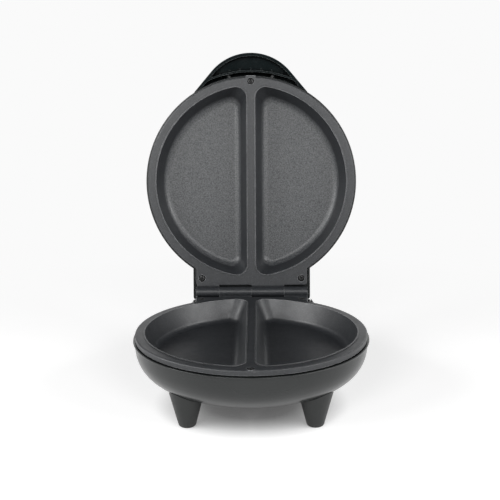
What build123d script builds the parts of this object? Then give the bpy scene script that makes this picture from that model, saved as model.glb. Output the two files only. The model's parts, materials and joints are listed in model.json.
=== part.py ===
from build123d import *
from dataclasses import dataclass
from math import atan, cos, degrees, hypot, pi, radians, sin, sqrt
import os

# Electric omelette maker, lid open. Millimetres. The origin is on the table, under the middle of
# the round base. +X is the user's right, +Y points to the hinge at the back, +Z is up.
#
# Both halves are modelled the same way up, in a frame of their own: z = 0 is the open edge of the
# half's casing, +z is the food side and -z the inside of the casing. The lid's pieces are then
# flipped over, set on the hinge and turned open.

# ---- Driving sizes ----
SEAM_HEIGHT = 66.3            # open edge of the base casing above the table
LID_SEAM_GAP = 14.0           # open edge of the lid casing above the base's, lid closed
OPEN_ANGLE = 101.0            # how far the lid is turned back

RIM_RADIUS = 112.0            # both casings at their open edges
RIM_LIP = 1.6                 # how far the edge stands out from the side below it
RIM_HEIGHT = 1.3              # thickness of that edge
RIM_SEAT = 4.6                # width of the flat edge that carries the plate
FULLNESS = 2.57               # exponent of the casings' curve: 2 is an ellipse, more is boxier

BASE_DEPTH = 45.3
BASE_FLAT_RADIUS = 36.0       # where the base's curve runs out into its flat bottom
BASE_WALL = 2.6
LID_DEPTH = 31.0
LID_FLAT_RADIUS = 50.0
LID_WALL = 2.2

# Cooking plates, cast alike for both halves
PLATE_STEP = 2.0              # plate's edge in from the casing's
PLATE_HEIGHT = 6.0            # flange above the casing's edge
FLANGE_THICKNESS = 3.0
PLATE_WALL = 2.4              # skirt and well walls
PLATE_EDGE_ROUND = 1.2
REBATE_HEIGHT = 1.0           # groove round the foot of the plate's skirt
REBATE_DEPTH = 1.4
TAB_STEP = 3.5                # sides of the tab that reaches back to the hinge, in from the housing's
TAB_GAP = 6.9                 # tab's back edge in front of the hinge's axis
TAB_CORNER = 3.0
FLANGE_WIDTH = 9.5            # plate's edge to its wells
WELL_DEPTH = 21.0             # below the flange
WELL_SLOPE = 8.0              # how far the walls lean in over that depth
WELL_CORNER = 11.0
WELL_FLOOR_ROUND = 7.0
BAR_WIDTH = 10.0              # between the two wells
LIP_WIDTH = 1.5               # raised rim round each well
LIP_HEIGHT = 0.8

# Hinge
HINGE_REACH = 5.9             # axis behind the casing's round edge
HINGE_Z = 9.35                # above the base casing's edge
BARREL_RADIUS = 5.5
PIN_RADIUS = 2.5
PIN_FIT = 0.05                # radial running clearance of the pin
KNUCKLE_GAP = 0.3             # between two knuckles
KNUCKLE_STEP = 1.0            # outer ends of the barrels in from the tab's sides
KNUCKLE_INNER = 34.5          # joint between the outer and the middle knuckles
END_LUG = 1.3                 # base lugs that close the barrels' ends
HINGE_RELIEF = 0.8            # air round the barrels
STOP_GAP = 0.3                # lid block from the base housing, lid open

# Housing at the back of each casing
HOUSING_HALF_WIDTH = 62.5     # at the open edge
HOUSING_FRONT = 60.0          # hidden in the bowl
BASE_HOUSING_CORNER = 8.0
BASE_HOUSING_FLARE = 4.0      # how far the base's housing spreads below its edge
BASE_SHOULDER = 6.5           # height over which it spreads
BASE_HOUSING_DEPTH = 36.0
BASE_HOUSING_ROUND = 8.0
LID_HOUSING_DEPTH = 20.0
LID_HOUSING_ROUND = 2.8
LID_HOUSING_CORNER = 3.0
LID_SIDE_WALL = 2.4
EAR_HEIGHT = 2.8              # raised ear of the base beside the lid, on the right
EAR_WIDTH = 4.4
EAR_LENGTH = 4.0
EAR_GAP = 0.4

# Screws
FRONT_SCREW_STEP = 4.5        # front plate screw in from the plate's edge
REAR_SCREW_SIDE = 6.2         # rear plate screws in from the tab's sides
REAR_SCREW_STEP = 7.8         # and from its back edge
SCREW_HEAD_RADIUS = 3.3
SCREW_HEAD_HEIGHT = 2.0
SCREW_RADIUS = 1.6
SCREW_LENGTH = 14.0
SCREW_CLEARANCE = 0.05        # shank in its hole
HEAD_CLEARANCE = 0.35         # head in its recess
HEAD_SUNK = 0.2               # head below the flange
HEAD_WALL = 0.7               # metal round the recess, under the flange
BOSS_WALL = 2.0
BRIDGE_WIDTH = 10.0           # lid plate's step over its casing's edge at the front screw
BRIDGE_REACH = 1.5

# Feet
FOOT_SETBACK = 53.7           # front feet in from the casing's edge, sideways and forwards
REAR_FOOT_X = 46.0
REAR_FOOT_SETBACK = 20.0      # rear feet in from the casing's edge
FOOT_RADIUS = 7.65            # at the table, before its edge is rounded
FOOT_HALF_ANGLE = 14.5
FOOT_ROUND = 3.0
FOOT_JOINT = 0.35             # shadow gap round the top of a foot
FOOT_PAD_RADIUS = 6.0

# Heating
TUBE_RADIUS = 3.25
RING_RADIUS = 55.0
LEG_SPREAD = 12.0             # the element's two legs, to each side of the middle
LEG_BEND = 10.0
LEG_SETBACK = 36.0            # ends of the legs in from the casing's edge
BEAD_RADIUS = 3.4
BEAD_LENGTH = 7.0
TERMINAL_PIN_RADIUS = 1.1
TERMINAL_PIN_LENGTH = 4.0
CLIP_SHEET = 0.8
CLIP_WIDTH = 7.0
CLIP_FOOT = 5.0
CLIP_FIT = 0.1
CLIP_ANGLES = (-40, 35, 145, 220)
SHIELD_SHEET = 0.6
SHIELD_GAP = 4.0              # under the clips in the base
LID_SHIELD_GAP = 0.3
SHIELD_RIM = 4.0
LEG_ROOM = 1.0                # shield's notch beside the element's beads
SHIELD_EDGE_GAP = 6.0         # from the casing
POST_RADIUS = 3.6
POST_RING = 32.0              # shield posts from the middle
SMALL_HEAD_RADIUS = 2.6
SMALL_HEAD_HEIGHT = 1.4
SMALL_SCREW_RADIUS = 1.3
SMALL_SCREW_LENGTH = 5.0

# Controls and wiring
THERMOSTAT_SPOT = (31.0, -18.0)
THERMOSTAT_RADIUS = 7.5
THERMOSTAT_HEIGHT = 8.0
THERMOSTAT_FLANGE = 1.0
THERMOSTAT_EARS = 24.0        # screw to screw
FUSE_SPOT = (-31.0, -18.0)
FUSE_RADIUS = 2.4
FUSE_LENGTH = 15.0
BLOCK_SIZE = (40.0, 14.0, 12.0)
LID_BLOCK_SIZE = (34.0, 11.0, 9.0)
BLOCK_GAP = 14.0              # terminal block behind the element's pins
LEAD_RADIUS = 1.3
LEAD_BEND = 3.0
CORD_HOLE_RADIUS = 3.75       # bore of the inlet bush
BUSH_NECK_RADIUS = 6.5
BUSH_FLANGE_RADIUS = 9.0
BUSH_FLANGE = 2.5
BUSH_FIT = 0.05
CORD_DROP = 18.8              # bush below the base's edge

# Handle, a crescent on the front of the lid
HANDLE_RADIUS = 54.5
HANDLE_SETBACK = 30.3         # centre of its arc in from the casing's edge
HANDLE_ARC = 50.0             # degrees of arc to each side, straight beyond
HANDLE_HALF_WIDTH = 60.5
HANDLE_DEPTH = 14.0           # at the casing
HANDLE_TIP_DEPTH = 8.0        # at the front
HANDLE_WALL = 3.3
HANDLE_GAP_DEPTH = 10.0       # slot between the casing's edge and the ridge
HANDLE_EDGE_ROUND = 2.0
RIDGE_GAP = 4.0               # ridge inside the hollow, out from the casing's edge
RIDGE_WIDTH = 1.8
RIB_COUNT = 9
RIB_PITCH = 5.4               # degrees
RIB_WIDTH = 1.4
RIB_REACH = 4.0
RIB_DROP = 1.0                # top of the ribs below the casing's edge
HANDLE_FIT = 0.4              # hollow's edge from the casing's rim
HANDLE_SCREW_ANGLE = 12.0
HANDLE_SCREW_DROP = 8.0
HANDLE_SCREW_LENGTH = 11.0

# Signal lights
LENS_SPREAD = 9.0
LENS_FORWARD = 34.0
LENS_RADIUS = 4.0
LENS_RISE = 1.2
LENS_FLANGE = 0.8
LENS_FIT = 0.05
LAMP_RADIUS = 1.0
LAMP_LENGTH = 8.0

# ---- Sizes that follow ----
BOWL_STEPS = 7
PLATE_RADIUS = RIM_RADIUS - PLATE_STEP
WELL_RADIUS = PLATE_RADIUS - FLANGE_WIDTH
HINGE_Y = RIM_RADIUS + HINGE_REACH
TAB_HALF_WIDTH = HOUSING_HALF_WIDTH - TAB_STEP
TAB_BACK = HINGE_Y - TAB_GAP
KNUCKLE_OUTER = TAB_HALF_WIDTH - KNUCKLE_STEP
REAR_SCREW_X = TAB_HALF_WIDTH - REAR_SCREW_SIDE
REAR_SCREW_Y = TAB_BACK - REAR_SCREW_STEP
FOOT_SPREAD = RIM_RADIUS - FOOT_SETBACK
REAR_FOOT_Y = RIM_RADIUS - REAR_FOOT_SETBACK
LEG_END = RIM_RADIUS - LEG_SETBACK
HANDLE_CENTRE = RIM_RADIUS - HANDLE_SETBACK
RIDGE_RADIUS = RIM_RADIUS + RIDGE_GAP
FLANGE_BOTTOM = PLATE_HEIGHT - FLANGE_THICKNESS
WELL_FLOOR = PLATE_HEIGHT - WELL_DEPTH
PLATE_UNDERSIDE = WELL_FLOOR - PLATE_WALL
ELEMENT_Z = PLATE_UNDERSIDE - TUBE_RADIUS
ELEMENT_BOTTOM = PLATE_UNDERSIDE - 2 * TUBE_RADIUS
CLIP_BOTTOM = ELEMENT_BOTTOM - CLIP_FIT - CLIP_SHEET
SCREW_SEAT = PLATE_HEIGHT - HEAD_SUNK - SCREW_HEAD_HEIGHT
PLATE_SCREWS = (
    (0.0, FRONT_SCREW_STEP - PLATE_RADIUS),
    (-REAR_SCREW_X, REAR_SCREW_Y),
    (REAR_SCREW_X, REAR_SCREW_Y),
)
LEAD_START_Y = LEG_END + BEAD_LENGTH + TERMINAL_PIN_LENGTH
LID_SEAM_Z = SEAM_HEIGHT + LID_SEAM_GAP
HINGE_AXIS = Axis((0, HINGE_Y, SEAM_HEIGHT + HINGE_Z), (1, 0, 0))


@dataclass
class Half:
    """What differs between the base and the lid."""

    depth: float
    flat_radius: float
    wall: float
    side_wall: float
    housing_depth: float
    housing_back: float
    housing_round: float
    housing_corner: float
    flare: float
    shoulder: float
    axis_z: float
    deck: float
    shield_z: float
    block: tuple
    bridged: bool


BASE = Half(
    depth=BASE_DEPTH,
    flat_radius=BASE_FLAT_RADIUS,
    wall=BASE_WALL,
    side_wall=BASE_WALL,
    housing_depth=BASE_HOUSING_DEPTH,
    housing_back=HINGE_Y + BARREL_RADIUS + HINGE_RELIEF + LID_WALL,
    housing_round=BASE_HOUSING_ROUND,
    housing_corner=BASE_HOUSING_CORNER,
    flare=BASE_HOUSING_FLARE,
    shoulder=BASE_SHOULDER,
    axis_z=HINGE_Z,
    deck=BASE_SHOULDER,
    shield_z=CLIP_BOTTOM - SHIELD_GAP - SHIELD_SHEET,
    block=BLOCK_SIZE,
    bridged=False,
)
LID = Half(
    depth=LID_DEPTH,
    flat_radius=LID_FLAT_RADIUS,
    wall=LID_WALL,
    side_wall=LID_SIDE_WALL,
    housing_depth=LID_HOUSING_DEPTH,
    housing_back=HINGE_Y + BARREL_RADIUS + HINGE_RELIEF + LID_WALL,
    housing_round=LID_HOUSING_ROUND,
    housing_corner=LID_HOUSING_CORNER,
    flare=0.0,
    shoulder=0.0,
    axis_z=LID_SEAM_GAP - HINGE_Z,
    deck=BARREL_RADIUS + HINGE_RELIEF - (LID_SEAM_GAP - HINGE_Z) + LID_WALL,
    shield_z=CLIP_BOTTOM - LID_SHIELD_GAP - SHIELD_SHEET,
    block=LID_BLOCK_SIZE,
    bridged=True,
)


# ---- Shared shapes ----
def rod(start, direction, radius, length):
    """A cylinder from a point along a direction."""
    return extrude(Plane(origin=start, z_dir=direction) * Circle(radius), length)


def block(x, y, z):
    """A box between two limits on each axis."""
    size = (x[1] - x[0], y[1] - y[0], z[1] - z[0])
    middle = (sum(x) / 2, sum(y) / 2, sum(z) / 2)
    return Pos(*middle) * Box(*size)


def screw(head_radius, head_height, radius, length):
    """A pan-head screw pointing down, the underside of its head at z = 0."""
    head = extrude(Circle(head_radius), head_height)
    head = fillet(head.edges().group_by(Axis.Z)[-1], 0.4 * head_height)
    shank = rod((0, 0, 0), (0, 0, -1), radius, length)
    return head + chamfer(shank.edges().group_by(Axis.Z)[0], 0.5 * radius)


# ---- Casings ----
class Bowl:
    """A casing's round body: a superellipse turned about Z, its open edge at z = 0."""

    def __init__(self, side, flat, depth):
        self.side = side
        self.flat = flat
        self.depth = depth

    def radius_at(self, depth):
        """Radius at a depth below the open edge."""
        t = (depth - RIM_HEIGHT) / (self.depth - RIM_HEIGHT)
        return self.flat + (self.side - self.flat) * (1 - max(t, 0) ** FULLNESS) ** (1 / FULLNESS)

    def depth_at(self, radius):
        """Depth of the wall at a radius."""
        u = max(radius - self.flat, 0) / (self.side - self.flat)
        return RIM_HEIGHT + (self.depth - RIM_HEIGHT) * (1 - u ** FULLNESS) ** (1 / FULLNESS)

    def solid(self):
        points = []
        for step in range(BOWL_STEPS + 1):
            a = 0.5 * pi * step / BOWL_STEPS
            across = max(cos(a), 0) ** (2 / FULLNESS)
            down = sin(a) ** (2 / FULLNESS)
            x = self.flat + (self.side - self.flat) * across
            points.append((x, 0, -RIM_HEIGHT - (self.depth - RIM_HEIGHT) * down))
        side = Spline(*points, tangents=((0, 0, -1), (-1, 0, 0)))
        rest = Polyline(side @ 1, (0, 0, -self.depth), (0, 0, 0), (self.side, 0, 0), side @ 0)
        return revolve(make_face([*side.edges(), *rest.edges()]), Axis.Z, 360)


def outer_bowl(half):
    return Bowl(RIM_RADIUS - RIM_LIP, half.flat_radius, half.depth)


def inner_bowl(half):
    return Bowl(RIM_RADIUS - RIM_LIP - half.wall, half.flat_radius, half.depth - half.wall)


def housing_outline(half_width, back, corner, z):
    """Plan of a hinge housing, its front end hidden in the bowl."""
    length = back - HOUSING_FRONT
    plan = Pos(0, HOUSING_FRONT + length / 2) * Rectangle(2 * half_width, length)
    plan = fillet(plan.vertices().group_by(Axis.Y)[-1], corner)
    return Pos(0, 0, z) * plan


def housing(half, inset):
    """The hinge housing, or its hollow when inset by the wall."""
    side = half.side_wall if inset else 0
    wall = half.wall if inset else 0
    wide = HOUSING_HALF_WIDTH + half.flare - side
    back = half.housing_back + half.flare - wall
    top = -half.shoulder
    lower = extrude(
        housing_outline(wide, back, half.housing_corner, top),
        half.housing_depth - half.shoulder - wall,
        dir=(0, 0, -1),
    )
    lower = fillet(lower.edges().group_by(Axis.Z)[0], half.housing_round - wall)
    if inset or not half.flare:
        return lower
    narrow = housing_outline(HOUSING_HALF_WIDTH, half.housing_back, half.housing_corner, 0)
    spread = housing_outline(wide, back, half.housing_corner, top)
    return lower + loft([narrow, spread], ruled=True)


def casing_outside(half):
    """A casing with nothing hollowed out."""
    lip = extrude(Circle(RIM_RADIUS), RIM_HEIGHT, dir=(0, 0, -1))
    lip = fillet(lip.edges(), 0.4 * RIM_HEIGHT)
    return outer_bowl(half).solid() + lip + housing(half, False)


def under_deck(half):
    """The housing's hollow, roofed behind the plate's tab by the deck under the hinge."""
    hollow = housing(half, True)
    seat_edge = TAB_BACK - RIM_SEAT
    wide = 2 * HOUSING_HALF_WIDTH
    roof = block((-wide, wide), (seat_edge, 2 * HINGE_Y), (-half.deck, HINGE_Y))
    front = block(
        (-TAB_HALF_WIDTH + RIM_SEAT, TAB_HALF_WIDTH - RIM_SEAT),
        (HOUSING_FRONT, seat_edge),
        (-half.housing_depth / 2, 1),
    )
    return (hollow - roof) + front


def plate_boss(half, spot, outside):
    """A post under one plate screw, from the casing's wall up to its edge."""
    radius = SCREW_RADIUS + BOSS_WALL
    post = rod((*spot, 0), (0, 0, -1), radius, half.depth) & outside
    return post - rod((*spot, 0), (0, 0, -1), SCREW_RADIUS + SCREW_CLEARANCE, SCREW_LENGTH)


def shield_posts(half):
    """Posts on the casing's floor that the heat shield is screwed to."""
    posts = []
    for corner in range(4):
        turn = Rot(0, 0, 45 + 90 * corner)
        floor = -half.depth + half.wall
        post = rod((POST_RING, 0, floor), (0, 0, 1), POST_RADIUS, half.shield_z - floor)
        hole = rod((POST_RING, 0, half.shield_z), (0, 0, -1), SMALL_SCREW_RADIUS + SCREW_CLEARANCE,
                   min(SMALL_SCREW_LENGTH, half.shield_z - floor))
        posts.append(turn * (post - hole))
    return posts


def open_casing(half):
    """The hollow casing with its rim, bosses and posts."""
    outside = casing_outside(half)
    rim_hole = rod((0, 0, -RIM_HEIGHT), (0, 0, 1), RIM_RADIUS - RIM_SEAT, 2 * RIM_HEIGHT)
    shell = outside - inner_bowl(half).solid()
    rim = extrude(Circle(RIM_RADIUS - 0.5 * RIM_LIP), RIM_HEIGHT, dir=(0, 0, -1))
    shell = shell + (rim - rim_hole)
    shell = shell - under_deck(half) - rim_hole
    for spot in PLATE_SCREWS:
        shell = shell + plate_boss(half, spot, outside)
    for post in shield_posts(half):
        shell = shell + post
    return shell


def lid_block_space():
    """Where the open lid's hinge block stands, with the stop gap, in the base's frame."""
    wide = HOUSING_HALF_WIDTH + EAR_GAP
    space = block((-wide, wide), (HINGE_Y - 2 * BARREL_RADIUS, LID.housing_back + STOP_GAP),
                  (LID_SEAM_GAP - STOP_GAP, LID_SEAM_GAP + 2 * LID_HOUSING_DEPTH))
    return space.rotate(Axis((0, HINGE_Y, HINGE_Z), (1, 0, 0)), -OPEN_ANGLE)


def base_ear():
    """The raised ear beside the lid's block, its outer edge sloping like the housing's shoulder."""
    inner = HOUSING_HALF_WIDTH + EAR_GAP
    side = Polyline((inner, 0, -BASE_SHOULDER), (inner, 0, EAR_HEIGHT), (inner + 0.2, 0, EAR_HEIGHT),
                    (inner + EAR_WIDTH, 0, -BASE_SHOULDER / 2), (inner + EAR_WIDTH, 0, -BASE_SHOULDER),
                    close=True)
    back = HINGE_Y - BARREL_RADIUS + EAR_LENGTH / 2
    ear = extrude(Pos(0, back, 0) * make_face(side.edges()), EAR_LENGTH, dir=(0, -1, 0))
    return ear & housing_reach()


def housing_reach():
    """Plan limits of the base housing below its shoulder, as a tall solid."""
    wide = HOUSING_HALF_WIDTH + BASE_HOUSING_FLARE
    plan = housing_outline(wide, BASE.housing_back, BASE_HOUSING_CORNER, 0)
    return Pos(0, 0, -BASE_HOUSING_DEPTH) * extrude(plan, 2 * BASE_HOUSING_DEPTH)


def foot_spots():
    """The four feet: name, x, y."""
    return (
        ("foot_front_left", -FOOT_SPREAD, -FOOT_SPREAD),
        ("foot_front_right", FOOT_SPREAD, -FOOT_SPREAD),
        ("foot_rear_left", -REAR_FOOT_X, REAR_FOOT_Y),
        ("foot_rear_right", REAR_FOOT_X, REAR_FOOT_Y),
    )


def foot_seat_z(y, radius):
    """Height of the inside seat for a foot's screw: on the bowl in front, on the housing behind."""
    if y > HOUSING_FRONT:
        return -BASE_HOUSING_DEPTH + BASE_WALL + BOSS_WALL
    return -inner_bowl(BASE).depth_at(radius + SCREW_HEAD_RADIUS) + BOSS_WALL


def cord_spot():
    """Middle of the cord's hole, on the housing's rear wall."""
    return (0, BASE.housing_back + BASE.flare, -CORD_DROP)


def base_shell():
    shell = open_casing(BASE)
    outside = casing_outside(BASE)
    for _, x, y in foot_spots():
        seat = foot_seat_z(y, hypot(x, y))
        pad = rod((x, y, seat), (0, 0, -1), SCREW_HEAD_RADIUS + 1, BASE_DEPTH) & outside
        shell = shell + pad
        shell = shell - rod((x, y, seat + 1), (0, 0, -1), SCREW_RADIUS + SCREW_CLEARANCE, BASE_DEPTH)
    shell = shell + base_ear() - lid_block_space()
    x, y, z = cord_spot()
    return shell - rod((x, y + 1, z), (0, -1, 0), BUSH_NECK_RADIUS + BUSH_FIT, BASE_WALL + 2)


def handle_screw_lines():
    """Start and direction of each handle screw, outwards through the lid's wall."""
    lines = []
    seat = RIM_RADIUS - RIM_LIP - LID_WALL - BOSS_WALL
    for side in (-1, 1):
        a = radians(-90 + side * HANDLE_SCREW_ANGLE)
        lines.append(((seat * cos(a), seat * sin(a), -HANDLE_SCREW_DROP), (cos(a), sin(a), 0)))
    return lines


def lens_spots():
    return ((-LENS_SPREAD, -LENS_FORWARD), (LENS_SPREAD, -LENS_FORWARD))


def lid_shell():
    shell = open_casing(LID)
    outside = casing_outside(LID)
    for start, out in handle_screw_lines():
        boss = rod(start, out, SCREW_HEAD_RADIUS + 0.7, 2 * BOSS_WALL) & outside
        shell = shell + boss
        shell = shell - rod(start, out, SCREW_RADIUS + SCREW_CLEARANCE, HANDLE_SCREW_LENGTH)
    for x, y in lens_spots():
        shell = shell - rod((x, y, -LID_DEPTH - 1), (0, 0, 1), LENS_RADIUS + LENS_FIT, LID_WALL + 2)
    relief = BARREL_RADIUS + HINGE_RELIEF
    reach = HOUSING_HALF_WIDTH - LID_SIDE_WALL
    return shell - rod((-reach, HINGE_Y, LID.axis_z), (1, 0, 0), relief, 2 * reach)


# ---- Cooking plates ----
def well_outline(inset, corner, z):
    """The D of the right-hand well, drawn smaller by an inset."""
    radius = WELL_RADIUS - inset
    straight = BAR_WIDTH / 2 + inset
    plan = Circle(radius) & Pos(straight + radius, 0) * Rectangle(2 * radius, 3 * radius)
    return Pos(0, 0, z) * fillet(plan.vertices(), corner)


def lean(z):
    """How far a well's wall has leaned in at a height."""
    return (PLATE_HEIGHT - z) * WELL_SLOPE / WELL_DEPTH


def well_form(top, floor, grow):
    """A well's space, or with grow the outside of the metal round it."""
    form = loft(
        [well_outline(lean(top) - grow, WELL_CORNER + grow, top),
         well_outline(lean(floor + grow) - grow, WELL_CORNER + grow, floor)],
        ruled=True,
    )
    return fillet(form.edges().group_by(Axis.Z)[0], WELL_FLOOR_ROUND + grow)


def well_lip():
    """The raised rim round a well, its well not yet cut out."""
    lip = extrude(well_outline(-LIP_WIDTH, WELL_CORNER + LIP_WIDTH, PLATE_HEIGHT), LIP_HEIGHT)
    return fillet(lip.edges().group_by(Axis.Z)[-1], 0.5 * LIP_HEIGHT)


def tab_form(inset, height):
    """The tab towards the hinge, its front end hidden in the round plate."""
    back = TAB_BACK - inset
    plan = Pos(0, back / 2) * Rectangle(2 * (TAB_HALF_WIDTH - inset), back)
    plan = fillet(plan.vertices().group_by(Axis.Y)[-1], TAB_CORNER)
    return extrude(plan, height)


def plate_blank():
    """Flange and skirt: a shallow tray turned over, with a groove round its foot."""
    height = PLATE_HEIGHT - REBATE_HEIGHT
    disc = extrude(Circle(PLATE_RADIUS), height)
    disc = fillet(disc.edges().group_by(Axis.Z)[-1], PLATE_EDGE_ROUND)
    tab = tab_form(0, height)
    tab = fillet(tab.edges().group_by(Axis.Z)[-1], PLATE_EDGE_ROUND)
    foot = extrude(Circle(PLATE_RADIUS - REBATE_DEPTH), REBATE_HEIGHT)
    foot = foot + tab_form(REBATE_DEPTH, REBATE_HEIGHT)
    hollow = extrude(Circle(PLATE_RADIUS - PLATE_WALL), FLANGE_BOTTOM)
    tray = Pos(0, 0, REBATE_HEIGHT) * (disc + tab) + foot
    return tray - hollow - tab_form(PLATE_WALL, FLANGE_BOTTOM)


def knuckle(axis_z, start, end):
    """One barrel of the hinge and the web that joins it to the tab."""
    start += KNUCKLE_GAP / 2
    end -= KNUCKLE_GAP / 2
    barrel = rod((start, HINGE_Y, axis_z), (1, 0, 0), BARREL_RADIUS, end - start)
    root = TAB_BACK - FLANGE_THICKNESS
    side = Polyline((start, root, 0), (start, TAB_BACK, 0),
                    (start, HINGE_Y, max(axis_z - BARREL_RADIUS, 0)), (start, HINGE_Y, axis_z),
                    (start, TAB_BACK, PLATE_HEIGHT), (start, root, PLATE_HEIGHT), close=True)
    web = extrude(make_face(side.edges()), end - start, dir=(1, 0, 0))
    return barrel + web


def cooking_plate(half, knuckles):
    plate = plate_blank()
    mirror_x = Plane.YZ
    tub = well_form(FLANGE_BOTTOM + FLANGE_THICKNESS / 2, PLATE_UNDERSIDE, PLATE_WALL)
    lip = well_lip()
    plate = plate + tub + mirror(tub, about=mirror_x) + lip + mirror(lip, about=mirror_x)
    for spot in PLATE_SCREWS:
        boss_radius = SCREW_HEAD_RADIUS + HEAD_CLEARANCE + HEAD_WALL
        boss_height = PLATE_HEIGHT - REBATE_HEIGHT
        plate = plate + rod((*spot, REBATE_HEIGHT), (0, 0, 1), boss_radius, boss_height)
    if half.bridged:
        plate = plate + block(
            (-BRIDGE_WIDTH / 2, BRIDGE_WIDTH / 2),
            (-PLATE_RADIUS - BRIDGE_REACH, -PLATE_RADIUS + PLATE_WALL),
            (0, PLATE_HEIGHT),
        )
    for start, end in knuckles:
        plate = plate + knuckle(half.axis_z, start, end)
    well = well_form(PLATE_HEIGHT + 2 * LIP_HEIGHT, WELL_FLOOR, 0)
    plate = plate - well - mirror(well, about=mirror_x)
    for x, y in PLATE_SCREWS:
        head = SCREW_HEAD_RADIUS + HEAD_CLEARANCE
        plate = plate - rod((x, y, SCREW_SEAT), (0, 0, 1), head, PLATE_HEIGHT)
        plate = plate - rod((x, y, 0), (0, 0, 1), SCREW_RADIUS + SCREW_CLEARANCE, PLATE_HEIGHT)
    bore = PIN_RADIUS + PIN_FIT
    reach = KNUCKLE_OUTER + END_LUG + 1
    return plate - rod((-reach, HINGE_Y, half.axis_z), (1, 0, 0), bore, 2 * reach)


def base_knuckles():
    """Spans of the base's barrels along X, the end lugs among them."""
    return (
        (-KNUCKLE_OUTER - END_LUG - KNUCKLE_GAP / 2, -KNUCKLE_OUTER),
        (-KNUCKLE_INNER, 0),
        (KNUCKLE_INNER, KNUCKLE_OUTER + END_LUG + KNUCKLE_GAP / 2),
    )


def lid_knuckles():
    return ((-KNUCKLE_OUTER, -KNUCKLE_INNER), (0, KNUCKLE_INNER))


def plate_screws():
    one = screw(SCREW_HEAD_RADIUS, SCREW_HEAD_HEIGHT, SCREW_RADIUS, SCREW_LENGTH)
    return [Pos(x, y, SCREW_SEAT) * one for x, y in PLATE_SCREWS]


# ---- Heating ----
def element_path():
    """Centre line: in along one leg, round the ring, out along the other."""
    reach = RING_RADIUS + LEG_BEND
    bend_x = LEG_SPREAD + LEG_BEND
    bend_y = sqrt(reach ** 2 - bend_x ** 2)
    meet = (bend_x * RING_RADIUS / reach, bend_y * RING_RADIUS / reach)
    half_turn = (bend_x - LEG_BEND * cos(pi / 8), bend_y - LEG_BEND * sin(pi / 8))
    z = ELEMENT_Z
    leg_in = Line((LEG_SPREAD, LEG_END, z), (LEG_SPREAD, bend_y, z))
    bend_in = ThreePointArc((LEG_SPREAD, bend_y, z), (*half_turn, z), (*meet, z))
    ring = ThreePointArc((*meet, z), (0, -RING_RADIUS, z), (-meet[0], meet[1], z))
    bend_out = ThreePointArc((-meet[0], meet[1], z), (-half_turn[0], half_turn[1], z),
                             (-LEG_SPREAD, bend_y, z))
    leg_out = Line((-LEG_SPREAD, bend_y, z), (-LEG_SPREAD, LEG_END, z))
    return Wire([*leg_in.edges(), *bend_in.edges(), *ring.edges(), *bend_out.edges(), *leg_out.edges()])


def heating_element():
    section = Plane(origin=(LEG_SPREAD, LEG_END, ELEMENT_Z), z_dir=(0, -1, 0)) * Circle(TUBE_RADIUS)
    return sweep(section, path=element_path())


def element_terminals():
    """A ceramic bead with its pin on each end of the element."""
    parts = []
    for x in (-LEG_SPREAD, LEG_SPREAD):
        bead = rod((x, LEG_END, ELEMENT_Z), (0, 1, 0), BEAD_RADIUS, BEAD_LENGTH)
        bead = chamfer(bead.edges().group_by(Axis.Y)[-1], 0.8)
        pin_length = BEAD_LENGTH + TERMINAL_PIN_LENGTH
        pin = rod((x, LEG_END, ELEMENT_Z), (0, 1, 0), TERMINAL_PIN_RADIUS, pin_length)
        parts.append(bead + pin)
    return parts


def element_clips():
    """Straps over the element, their feet on the plate's underside."""
    inside = TUBE_RADIUS + CLIP_FIT
    outside = inside + CLIP_SHEET
    width = (-CLIP_WIDTH / 2, CLIP_WIDTH / 2)
    top = PLATE_UNDERSIDE
    feet = block((-outside - CLIP_FOOT, outside + CLIP_FOOT), width, (top - CLIP_SHEET, top))
    arch = block((-outside, outside), width, (CLIP_BOTTOM, top))
    strap = feet + arch - block((-inside, inside), width, (CLIP_BOTTOM + CLIP_SHEET, top))
    parts = []
    for angle in CLIP_ANGLES:
        parts.append(Rot(0, 0, angle) * Pos(RING_RADIUS, 0, 0) * strap)
    return parts


def shield_radius(half):
    return inner_bowl(half).radius_at(-half.shield_z + SHIELD_SHEET) - SHIELD_EDGE_GAP


def heat_shield(half):
    """A shallow steel dish, its rim towards the plate."""
    radius = shield_radius(half)
    dish = rod((0, 0, half.shield_z), (0, 0, 1), radius, SHIELD_RIM)
    dish = fillet(dish.edges().group_by(Axis.Z)[0], 2 * SHIELD_SHEET)
    hollow = rod((0, 0, half.shield_z + SHIELD_SHEET), (0, 0, 1), radius - SHIELD_SHEET, SHIELD_RIM)
    hollow = fillet(hollow.edges().group_by(Axis.Z)[0], SHIELD_SHEET)
    legs = LEG_SPREAD + BEAD_RADIUS + LEG_ROOM
    notch_bottom = half.shield_z + 2 * SHIELD_SHEET
    notch = block((-legs, legs), (0, radius + 1), (notch_bottom, notch_bottom + SHIELD_RIM))
    dish = dish - hollow - notch
    for corner in range(4):
        spot = Rot(0, 0, 45 + 90 * corner) * Pos(POST_RING, 0, half.shield_z)
        dish = dish - spot * extrude(Circle(SMALL_SCREW_RADIUS + SCREW_CLEARANCE), SHIELD_SHEET)
    return dish


def shield_screws(half):
    floor = -half.depth + half.wall
    length = min(SMALL_SCREW_LENGTH, half.shield_z - floor) + 0.5 * SHIELD_SHEET
    one = screw(SMALL_HEAD_RADIUS, SMALL_HEAD_HEIGHT, SMALL_SCREW_RADIUS, length)
    parts = []
    for corner in range(4):
        parts.append(Rot(0, 0, 45 + 90 * corner) * Pos(POST_RING, 0, half.shield_z + SHIELD_SHEET) * one)
    return parts


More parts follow.
